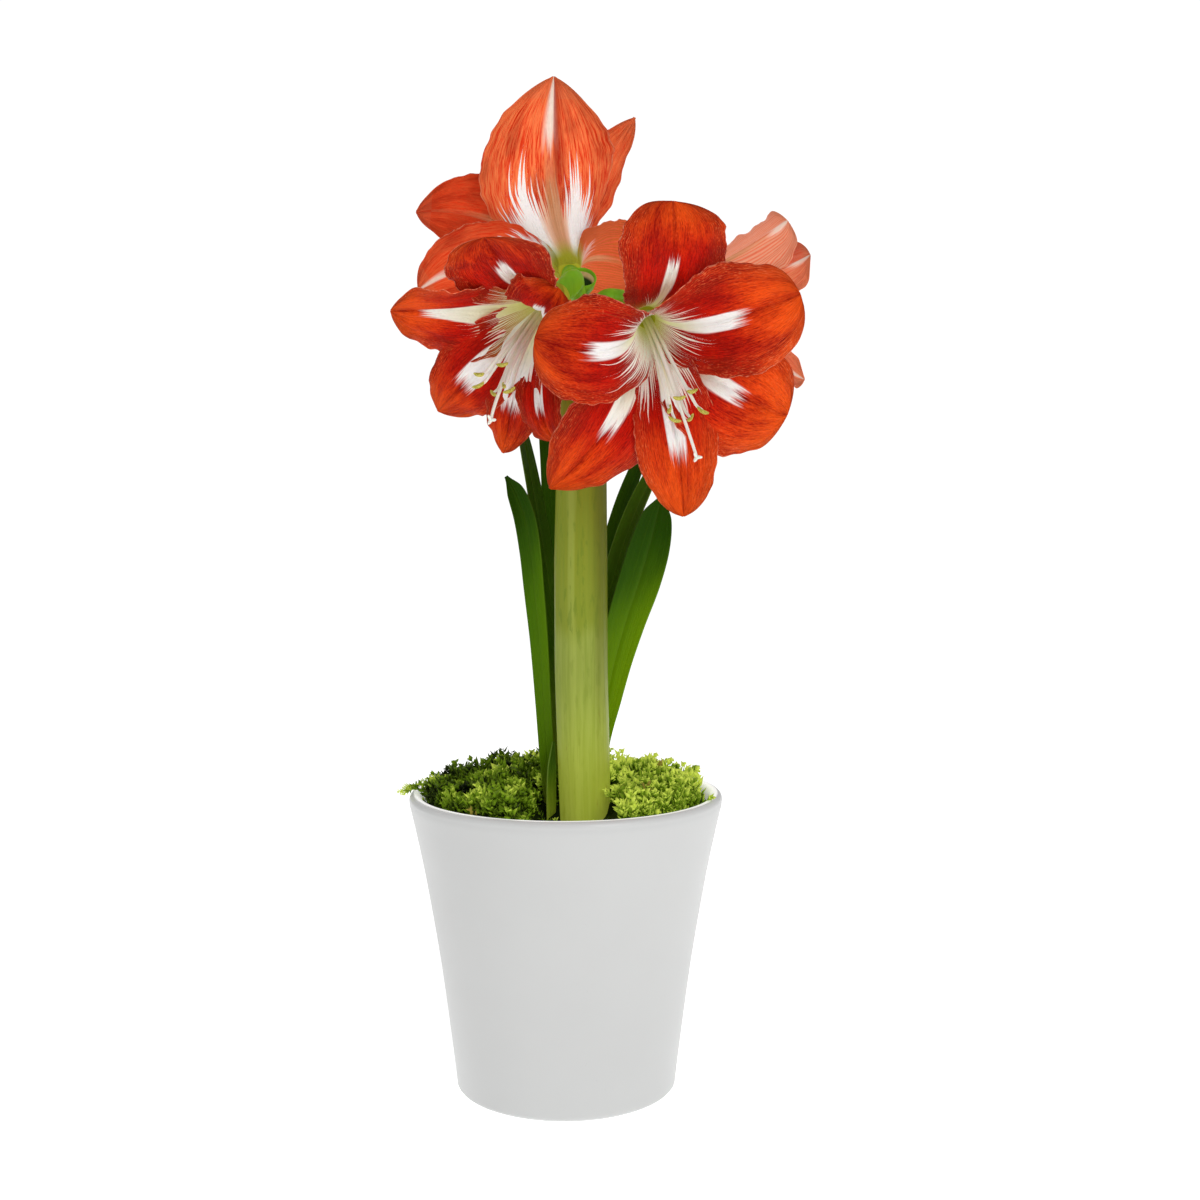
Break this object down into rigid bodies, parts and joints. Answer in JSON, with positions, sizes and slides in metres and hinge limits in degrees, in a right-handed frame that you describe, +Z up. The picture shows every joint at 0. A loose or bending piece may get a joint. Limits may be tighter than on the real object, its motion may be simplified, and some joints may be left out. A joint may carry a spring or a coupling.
{
  "type": "potted amaryllis",
  "caption": "Amaryllis in flower: red blooms with white stars on a thick stem, strap leaves, moss round its foot, in a tapered white ceramic pot.",
  "frame": {"origin": "centre of the pot's foot, on the surface that the pot stands on", "axes": "+Z up along the pot's axis; the plant's best side faces -Y and +X is to the right as seen from there"},
  "size_m": [0.21, 0.201, 0.5133],
  "materials": {
    "glaze": "white satin glaze",
    "earth": "loose dark potting soil",
    "bulb_skin": "dry papery skin",
    "moss": "matted soft green moss",
    "stem": "smooth yellow-green plant tissue with a bloom",
    "leaf": "satin dark green leaf",
    "petal": "velvety red petal with a white star and fine veins",
    "stamen": "smooth ivory filament with yellow-green anthers"
  },
  "bodies": {
    "root": {"pot": "glaze", "soil": "earth", "bulb": "bulb_skin", "moss": "moss", "scape": "stem", "leaf_1": "leaf", "leaf_2": "leaf", "leaf_3": "leaf", "leaf_4": "leaf", "leaf_5": "leaf", "leaf_6": "leaf", "leaf_young": "leaf", "bloom_front_right": "petal", "stamens_front_right": "stamen", "bloom_front_left": "petal", "stamens_front_left": "stamen", "bloom_back_left": "petal", "stamens_back_left": "stamen", "bloom_back_right": "petal", "stamens_back_right": "stamen"}
  },
  "joints": []
}
